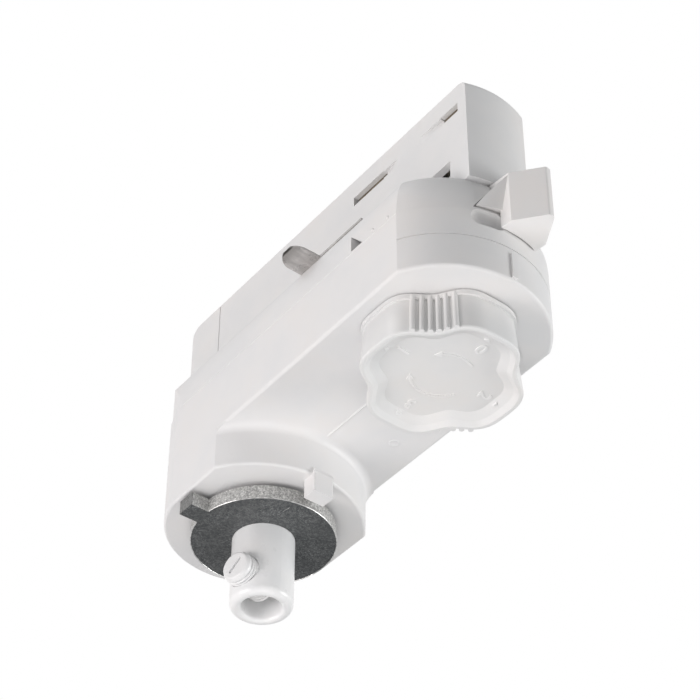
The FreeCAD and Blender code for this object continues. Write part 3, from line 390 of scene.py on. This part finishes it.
def draw_arrows(shape):
    """Each arrow's line in short steps, then its head, which points on from the line's start."""
    inner, outer = arrow_radius - arrow_half_width, arrow_radius + arrow_half_width
    for start, end in arrow_spans:
        turn = 1 if end > start else -1
        line = [start + (end - start) * k / arrow_steps for k in range(arrow_steps + 1)]
        for a, b in zip(line, line[1:]):
            raised_patch(shape, [(inner, a), (outer, a), (outer, b), (inner, b)])
        base = start + turn * head_overlap
        raised_patch(shape, [(arrow_radius - head_half_width, base),
                             (arrow_radius, start - turn * head_turn),
                             (arrow_radius + head_half_width, base)])


arrows = mesh_object("dial_arrows", draw_arrows)


def shape_tree(name, sizes):
    """An empty shape tree with the named number inputs, a finish input and a shape output."""
    tree = bpy.data.node_groups.new(name, "GeometryNodeTree")
    ids = {}
    for label, kind in [*sizes.items(), ("Finish", "NodeSocketMaterial")]:
        socket = tree.interface.new_socket(label, in_out="INPUT", socket_type=kind)
        ids[label] = socket.identifier
    tree.interface.new_socket("Geometry", in_out="OUTPUT", socket_type="NodeSocketGeometry")
    return tree, ids, tree.nodes.new("NodeGroupInput").outputs


def close_tree(tree, inputs, geometry):
    """Turns the geometry into real faces in the finish, and makes it the tree's result."""
    real = tree.nodes.new("GeometryNodeRealizeInstances")
    tree.links.new(geometry, real.inputs[0])
    paint = tree.nodes.new("GeometryNodeSetMaterial")
    tree.links.new(real.outputs[0], paint.inputs["Geometry"])
    tree.links.new(inputs["Finish"], paint.inputs["Material"])
    tree.links.new(paint.outputs[0], tree.nodes.new("NodeGroupOutput").inputs[0])


def triangle_tree():
    """One raised triangle, repeated at equal angles round the knob's axis."""
    tree, ids, inputs = shape_tree("dial_triangles", {
        "Count": "NodeSocketInt", "Ring Radius": "NodeSocketFloat", "Size": "NodeSocketFloat",
        "Rise": "NodeSocketFloat"})
    ring = tree.nodes.new("GeometryNodeMeshCircle")
    tree.links.new(inputs["Count"], ring.inputs["Vertices"])
    tree.links.new(inputs["Ring Radius"], ring.inputs["Radius"])
    wedge = tree.nodes.new("GeometryNodeMeshCone")
    wedge.inputs["Vertices"].default_value = 3
    top_size = arithmetic(tree, "MULTIPLY", inputs["Size"], 0.72)
    tree.links.new(top_size, wedge.inputs["Radius Top"])
    tree.links.new(inputs["Size"], wedge.inputs["Radius Bottom"])
    tree.links.new(inputs["Rise"], wedge.inputs["Depth"])
    place = tree.nodes.new("GeometryNodeInputPosition")
    face_out = tree.nodes.new("FunctionNodeAlignRotationToVector")
    face_out.axis = "X"
    face_out.pivot_axis = "Z"
    tree.links.new(place.outputs[0], face_out.inputs["Vector"])
    copies = tree.nodes.new("GeometryNodeInstanceOnPoints")
    tree.links.new(ring.outputs["Mesh"], copies.inputs["Points"])
    tree.links.new(wedge.outputs["Mesh"], copies.inputs["Instance"])
    tree.links.new(face_out.outputs["Rotation"], copies.inputs["Rotation"])
    close_tree(tree, inputs, copies.outputs[0])
    return tree, ids


def final_mesh(holder):
    """The mesh that an object shows once it is evaluated; the object itself is removed."""
    bpy.context.view_layer.update()
    depsgraph = bpy.context.evaluated_depsgraph_get()
    mesh = bpy.data.meshes.new_from_object(holder.evaluated_get(depsgraph))
    bpy.data.objects.remove(holder)
    return mesh


def grown_mesh(name, tree, ids, values, move):
    """Runs a shape tree once with the given sizes and keeps its result as a plain mesh."""
    holder = new_object(name + "_holder", bpy.data.meshes.new(name + "_holder"))
    modifier = holder.modifiers.new("shape", "NODES")
    modifier.node_group = tree
    for label, value in values.items():
        modifier[ids[label]] = value
    mesh = final_mesh(holder)
    mesh.name = name
    mesh.transform(move)
    return mesh


def dish_height(radius):
    """Height of the dish's face at a distance from the knob's axis along a lobe."""
    edge, run, knee = 0.0146, 0.0028, 0.35
    slope = min(1.0, max(0.0, (edge - radius) / run))
    share = slope / knee * 0.5 if slope < knee else 0.5 + (slope - knee) / (1 - knee) * 0.5
    return knob_rim + dish_depth * share


dial_finish = moulded_plastic("dial_plastic", (0.86, 0.858, 0.852), 0.30, 0.6, 0.02)
face_down = Matrix.Rotation(math.pi, 4, "X")
triangle_ring = 0.0127
triangle_sink = 0.00042
triangle_place = Vector((knob_x, 0, dish_height(triangle_ring) + triangle_sink))
triangle_mesh = grown_mesh(
    "dial_triangles", *triangle_tree(),
    {"Count": 4, "Ring Radius": triangle_ring, "Size": 0.00090, "Rise": 0.0006,
     "Finish": dial_finish},
    Matrix.Translation(triangle_place) @ face_down)
triangles = new_object("dial_triangles", triangle_mesh)

number_ring = 0.0096
number_size = 0.0036
number_sink = 0.00006
number_angles = {"0": 6, "1": -84, "2": 88, "3": 178}


def dial_number(text, angle):
    """One raised number that reads from below, its head towards the rim."""
    curve = bpy.data.curves.new("dial_number_" + text, "FONT")
    curve.body = text
    curve.size = number_size
    curve.extrude = 0.00022
    curve.offset = 0.00006
    curve.align_x = "CENTER"
    curve.align_y = "CENTER"
    curve.resolution_u = 4
    mesh = final_mesh(new_object("dial_number_holder", curve))
    head_out = Matrix.Rotation(math.radians(angle + 90), 4, "Z")
    place = Matrix.Translation(dial_point(number_ring, angle, dish_floor + number_sink))
    mesh.transform(place @ head_out @ face_down)
    return mesh


def joined_mesh(name, meshes):
    whole = bmesh.new()
    for mesh in meshes:
        whole.from_mesh(mesh)
    joined = bpy.data.meshes.new(name)
    whole.to_mesh(joined)
    whole.free()
    return joined


number_meshes = [dial_number(text, angle) for text, angle in number_angles.items()]
numbers = new_object("dial_numbers", joined_mesh("dial_numbers", number_meshes))
for mark in (arrows, triangles, numbers):
    mark.data.materials.clear()
    mark.data.materials.append(dial_finish)
    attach(mark, "selector")


# The cord grip's tube: white nylon, moulded with a rounded end and polished by the cord, so it is
# among the glossiest whites on the part.
tube_finish = moulded_plastic("tube_plastic", (0.89, 0.89, 0.888), 0.30, 0.5, 0.02, (1, 1, 0.4))
dress(tube_finish, "cord_grip_nozzle")


# The cord screw: white nylon grub screw with a moulded thread all along it, a bevelled end and a
# straight slot. It is turned in until its tip clamps the cord.
tube_end = -0.05335
screw_turn = math.radians(-74)
screw_axis = Vector((math.cos(screw_turn), math.sin(screw_turn), 0))
screw_mid = Vector((0, 0, tube_end + 0.0054))
screw_in = -0.0010
screw_out = 0.0083
screw_length = screw_out - screw_in
screw_radius = 0.0033
core_radius = screw_radius - 0.00030
ridge_radius = 0.00026
thread_pitch = 0.00070
thread_start = 0.0005
thread_length = screw_length - 0.0017
slot_angle = math.radians(44)
slot_size = (0.0036, 0.0006, 0.0009)
core_profile = [
    (0.0, 0.0), (0.0, core_radius - 0.0004), (0.0004, core_radius),
    (screw_length - 0.0012, core_radius), (screw_length - 0.00095, screw_radius - 0.00010),
    (screw_length - 0.00065, screw_radius - 0.00012),
    (screw_length - 0.00012, screw_radius - 0.00045), (screw_length, screw_radius - 0.0007),
    (screw_length, 0.0)]


def thread_tree():
    """A ridge that winds round a rod: a spiral line swept with a small six-sided section."""
    tree, ids, inputs = shape_tree("screw_thread", dict.fromkeys(
        ("Turns", "Winding Radius", "Length", "Ridge"), "NodeSocketFloat"))
    spiral = tree.nodes.new("GeometryNodeCurveSpiral")
    spiral.inputs["Resolution"].default_value = 36
    tree.links.new(inputs["Turns"], spiral.inputs["Rotations"])
    tree.links.new(inputs["Winding Radius"], spiral.inputs["Start Radius"])
    tree.links.new(inputs["Winding Radius"], spiral.inputs["End Radius"])
    tree.links.new(inputs["Length"], spiral.inputs["Height"])
    section = tree.nodes.new("GeometryNodeCurvePrimitiveCircle")
    section.inputs["Resolution"].default_value = 6
    tree.links.new(inputs["Ridge"], section.inputs["Radius"])
    sweep = tree.nodes.new("GeometryNodeCurveToMesh")
    sweep.inputs["Fill Caps"].default_value = True
    tree.links.new(spiral.outputs["Curve"], sweep.inputs["Curve"])
    tree.links.new(section.outputs["Curve"], sweep.inputs["Profile Curve"])
    close_tree(tree, inputs, sweep.outputs[0])
    return tree, ids


def draw_slot_cutter(shape):
    bmesh.ops.create_cube(shape, size=1.0)
    bmesh.ops.scale(shape, vec=slot_size, verts=shape.verts)
    bmesh.ops.translate(shape, vec=(0, 0, screw_length), verts=shape.verts)


screw_finish = moulded_plastic("screw_plastic", (0.86, 0.855, 0.85), 0.34, 0.6, 0.03)
across_screw = Vector((0, 0, 1)).cross(screw_axis)
slot_way = across_screw * math.sin(slot_angle) + Vector((0, 0, math.cos(slot_angle)))
slot_side = screw_axis.cross(slot_way)
screw_turned = Matrix((slot_way, slot_side, screw_axis)).transposed().to_4x4()
core_piece = mesh_object("cord_screw_core", lambda shape: lathe(shape, core_profile, 64))
cutter = mesh_object("slot_cutter", draw_slot_cutter)
cut = core_piece.modifiers.new("slot", "BOOLEAN")
cut.operation = "DIFFERENCE"
cut.object = cutter
slotted_core = final_mesh(core_piece)
bpy.data.objects.remove(cutter)
thread = grown_mesh(
    "cord_screw_thread", *thread_tree(),
    {"Turns": thread_length / thread_pitch, "Winding Radius": screw_radius - ridge_radius,
     "Length": thread_length, "Ridge": ridge_radius, "Finish": screw_finish},
    Matrix.Translation((0, 0, thread_start)))
screw_mesh = joined_mesh("threaded_cord_screw", (slotted_core, thread))
for face in screw_mesh.polygons:
    face.use_smooth = False
screw_mesh.transform(Matrix.Translation(screw_axis * screw_in)
                     @ Matrix.Translation(screw_mid) @ screw_turned)
screw_mesh.materials.clear()
screw_mesh.materials.append(screw_finish)
cord_screw = new_object("threaded_cord_screw", screw_mesh)
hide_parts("cord_screw")
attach(cord_screw, "grip_screw")


# The pendant washer: thick sheet steel, hot galvanized, so its face is dull and spangled, and its
# sheared rim is bright and rough. It is clamped between the tube and the housing.
def axis_part(tree, vector, axis):
    parts = tree.nodes.new("ShaderNodeSeparateXYZ")
    tree.links.new(vector, parts.inputs[0])
    return parts.outputs[axis]


def galvanized(name):
    """Zinc spangles and bright flecks on the faces, a rough pale rim, and painted shade on the
    tab's end.
    """
    material = new_material(name)
    tree = material.node_tree
    coords = object_coords(tree)
    spangle = tree.nodes.new("ShaderNodeTexVoronoi")
    spangle.inputs["Scale"].default_value = 2600.0
    tree.links.new(coords, spangle.inputs["Vector"])
    flake = tree.nodes.new("ShaderNodeRGBToBW")
    tree.links.new(spangle.outputs["Color"], flake.inputs[0])
    face_tone = ramp(tree, flake.outputs[0], [
        (0.15, (0.086, 0.092, 0.095)), (0.5, (0.112, 0.118, 0.120)),
        (0.85, (0.165, 0.170, 0.171))])
    fleck = ramp(tree, noise(tree, coords, 3400.0, 4.0, 0.75), [(0.52, 0), (0.64, 1)])
    patches = ramp(tree, noise(tree, coords, 190.0, 3.0, 0.6), [(0.34, 0.12), (0.62, 0.8)])
    share = arithmetic(tree, "MULTIPLY", fleck, patches)
    face_tone = blend_colour(tree, share, face_tone, (0.34, 0.35, 0.35))
    rim_tone = ramp(tree, noise(tree, coords, 2600.0, 4.0, 0.75), [
        (0.32, (0.20, 0.20, 0.20)), (0.5, (0.48, 0.48, 0.47)), (0.66, (0.80, 0.80, 0.78))])
    # Painted shade: the rim tone is darkened almost to black towards the tab's end face.
    tab_end_shade = spread(tree, axis_part(tree, coords, "Y"), 0.72, 0.0, start=-0.01785, end=-0.0176)
    rim_tone = blend_colour(tree, tab_end_shade, rim_tone, (0.06, 0.06, 0.06))
    place = tree.nodes.new("ShaderNodeTexCoord")
    flat = arithmetic(tree, "ABSOLUTE", axis_part(tree, place.outputs["Normal"], "Z"))
    tone = blend_colour(tree, flat, rim_tone, face_tone)
    normal = bump(tree, noise(tree, coords, 1800.0, 4.0, 0.7), 0.00006)
    gloss = spread(tree, noise(tree, coords, 500.0, 3.0), 0.38, 0.62)
    finish_surface(tree, tone, gloss, normal, 0.55, 0.4)
    return material


def sheared_steel(name):
    material = new_material(name)
    tree = material.node_tree
    coords = object_coords(tree)
    tone = ramp(tree, noise(tree, coords, 900.0, 3.0), [
        (0.35, (0.42, 0.42, 0.41)), (0.62, (0.86, 0.86, 0.85))])
    normal = bump(tree, noise(tree, coords, 2500.0), 0.00002)
    gloss = spread(tree, noise(tree, coords, 700.0), 0.25, 0.45)
    finish_surface(tree, tone, gloss, normal, 0.6)
    return material


dress(galvanized("galvanized_sheet"), "pendant_washer")

# A burr line runs round the washer's lower edge where the shear left it bright, and one short
# scratch crosses its face near the housing's tooth.
washer_base = -0.03775
burr_ring = 0.01413
bead_radius = 0.00010
bead_sides = 6
burr_steps = 132
tab_angle = -92.0
tab_gap = 9.0
scratch_start = Vector((0.0121, -0.0026, washer_base))
scratch_end = Vector((0.0088, -0.0030, washer_base))
scratch_half_width = 0.00008
scratch_lift = Vector((0, 0, -0.00003))
scratch_sink = Vector((0, 0, 0.0001))
scratch_widths = ((0.0, 0.3), (0.5, 1.0), (1.0, 0.25))


def draw_burr(shape):
    """Thin rounded bead on the lower edge, broken where the square tab leaves the disc."""
    sections = []
    for k in range(burr_steps + 1):
        a = math.radians(tab_angle + tab_gap + (360 - 2 * tab_gap) * k / burr_steps)
        out = Vector((math.cos(a), math.sin(a), 0))
        centre = Vector((burr_ring * math.cos(a), burr_ring * math.sin(a), washer_base))
        sections.append([
            centre + out * bead_radius * math.cos(b) + Vector((0, 0, bead_radius * math.sin(b)))
            for b in (math.radians(360 / bead_sides * j) for j in range(bead_sides))])
    skin(shape, sections)


def draw_scratch(shape):
    """Shallow three-sided sliver, widest in the middle."""
    way = scratch_end - scratch_start
    side = way.cross(Vector((0, 0, 1))).normalized() * scratch_half_width
    sections = []
    for share, width in scratch_widths:
        place = scratch_start.lerp(scratch_end, share)
        sections.append([place + side * width + scratch_sink, place + scratch_lift,
                         place - side * width + scratch_sink])
    skin(shape, sections)


bright_edge = sheared_steel("sheared_edge")
burr = mesh_object("washer_burr", draw_burr)
scratch = mesh_object("washer_scratch", draw_scratch)
for mark in (burr, scratch):
    mark.data.materials.append(bright_edge)
    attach(mark, "adapter")


# The earth strip, screws, nut, ring, spindle and detent spring: bright zinc-plated steel, rolled
# and stamped, so it is faintly streaked. The strip's tongues carry painted shade at the bend and a
# painted dark reflection along the cut edge.
def plated_steel(name, stretch, tone=(0.60, 0.60, 0.595), painted_tip_shade=False, metallic=0.85):
    material = new_material(name)
    tree = material.node_tree
    streaked = object_coords(tree, stretch)
    plain = object_coords(tree)
    dark = tuple(c * 0.72 for c in tone)
    pale = tuple(min(0.8, c * 1.25) for c in tone)
    colour = ramp(tree, noise(tree, streaked, 900.0, 4.0, 0.6), [
        (0.3, dark), (0.55, tone), (0.75, pale)])
    if painted_tip_shade:
        # Painted shade darkens each tongue towards its bend, and a painted dark reflection makes
        # its cut edge nearly black.
        reach = arithmetic(tree, "ABSOLUTE", axis_part(tree, plain, "Y"))
        bend_shade = spread(tree, reach, 0.0, 0.55, start=0.0190, end=0.0208)
        colour = blend_colour(tree, bend_shade, colour, (0.20, 0.19, 0.18))
        edge = spread(tree, reach, 0.0, 1.0, start=0.0212, end=0.02145)
        colour = blend_colour(tree, edge, colour, (0.05, 0.046, 0.042))
    normal = bump(tree, noise(tree, streaked, 1600.0, 3.0, 0.6), 0.00001)
    normal = bump(tree, noise(tree, plain, 420.0, 2.0), 0.00003, normal)
    gloss = spread(tree, noise(tree, plain, 380.0, 3.0), 0.24, 0.42)
    finish_surface(tree, colour, gloss, normal, metallic)
    return material


dress(plated_steel("strip_steel", (1.0, 0.3, 1.0), (0.50, 0.485, 0.475), painted_tip_shade=True,
                   metallic=0.35), "earth_strip")
dress(plated_steel("turned_steel", (1.0, 1.0, 0.2)),
      "selector_shaft", "grip_lock_nut", "lever_ring", "detent_spring")
dress(plated_steel("screw_steel", (1.0, 1.0, 1.0), (0.66, 0.66, 0.65)),
      "case_screws", "insert_screws", "earth_screw", "terminal_screws")


# The locking cam: die-cast zinc alloy, matte and slightly pitted from the mould. It turns with
# the lever and hooks over the track's inner lips.
def cast_metal(name):
    material = new_material(name)
    tree = material.node_tree
    coords = object_coords(tree)
    tone = ramp(tree, noise(tree, coords, 300.0, 4.0, 0.6), [
        (0.3, (0.40, 0.40, 0.405)), (0.7, (0.58, 0.58, 0.585))])
    pits = ramp(tree, noise(tree, coords, 2200.0, 3.0, 0.7), [(0.25, 0), (0.42, 1)])
    normal = bump(tree, pits, 0.00002)
    gloss = spread(tree, noise(tree, coords, 600.0), 0.42, 0.60)
    finish_surface(tree, tone, gloss, normal, 0.7)
    return material


dress(cast_metal("cast_zinc_alloy"), "locking_cam")


# The contact blades: brass strip bent into springs, streaked along its length by the rolls and
# tarnished in patches by the air.
def rolled_brass(name):
    material = new_material(name)
    tree = material.node_tree
    streaked = object_coords(tree, (0.15, 1.0, 1.0))
    coords = object_coords(tree)
    metal = ramp(tree, noise(tree, streaked, 1400.0, 3.0), [
        (0.3, (0.20, 0.165, 0.115)), (0.7, (0.36, 0.295, 0.20))])
    tarnish = ramp(tree, noise(tree, coords, 320.0, 4.0, 0.65), [(0.40, 0.15), (0.66, 0.85)])
    tone = blend_colour(tree, tarnish, metal, (0.12, 0.10, 0.08))
    normal = bump(tree, noise(tree, streaked, 2000.0), 0.00001)
    gloss = spread(tree, noise(tree, coords, 500.0), 0.38, 0.55)
    finish_surface(tree, tone, gloss, normal, 0.75)
    return material


dress(rolled_brass("contact_strip"),
      "phase_contact_1", "phase_contact_2", "phase_contact_3", "neutral_contact")

# The insulators: cream thermoset blocks that hold the blades and the cord's terminals, and the
# rotor that pushes one pair of blades outwards at a time.
dress(moulded_plastic("insulator_plastic", (0.68, 0.62, 0.50), 0.50, 1.2, 0.05),
      "contact_holder", "terminal_block", "contact_rotor")
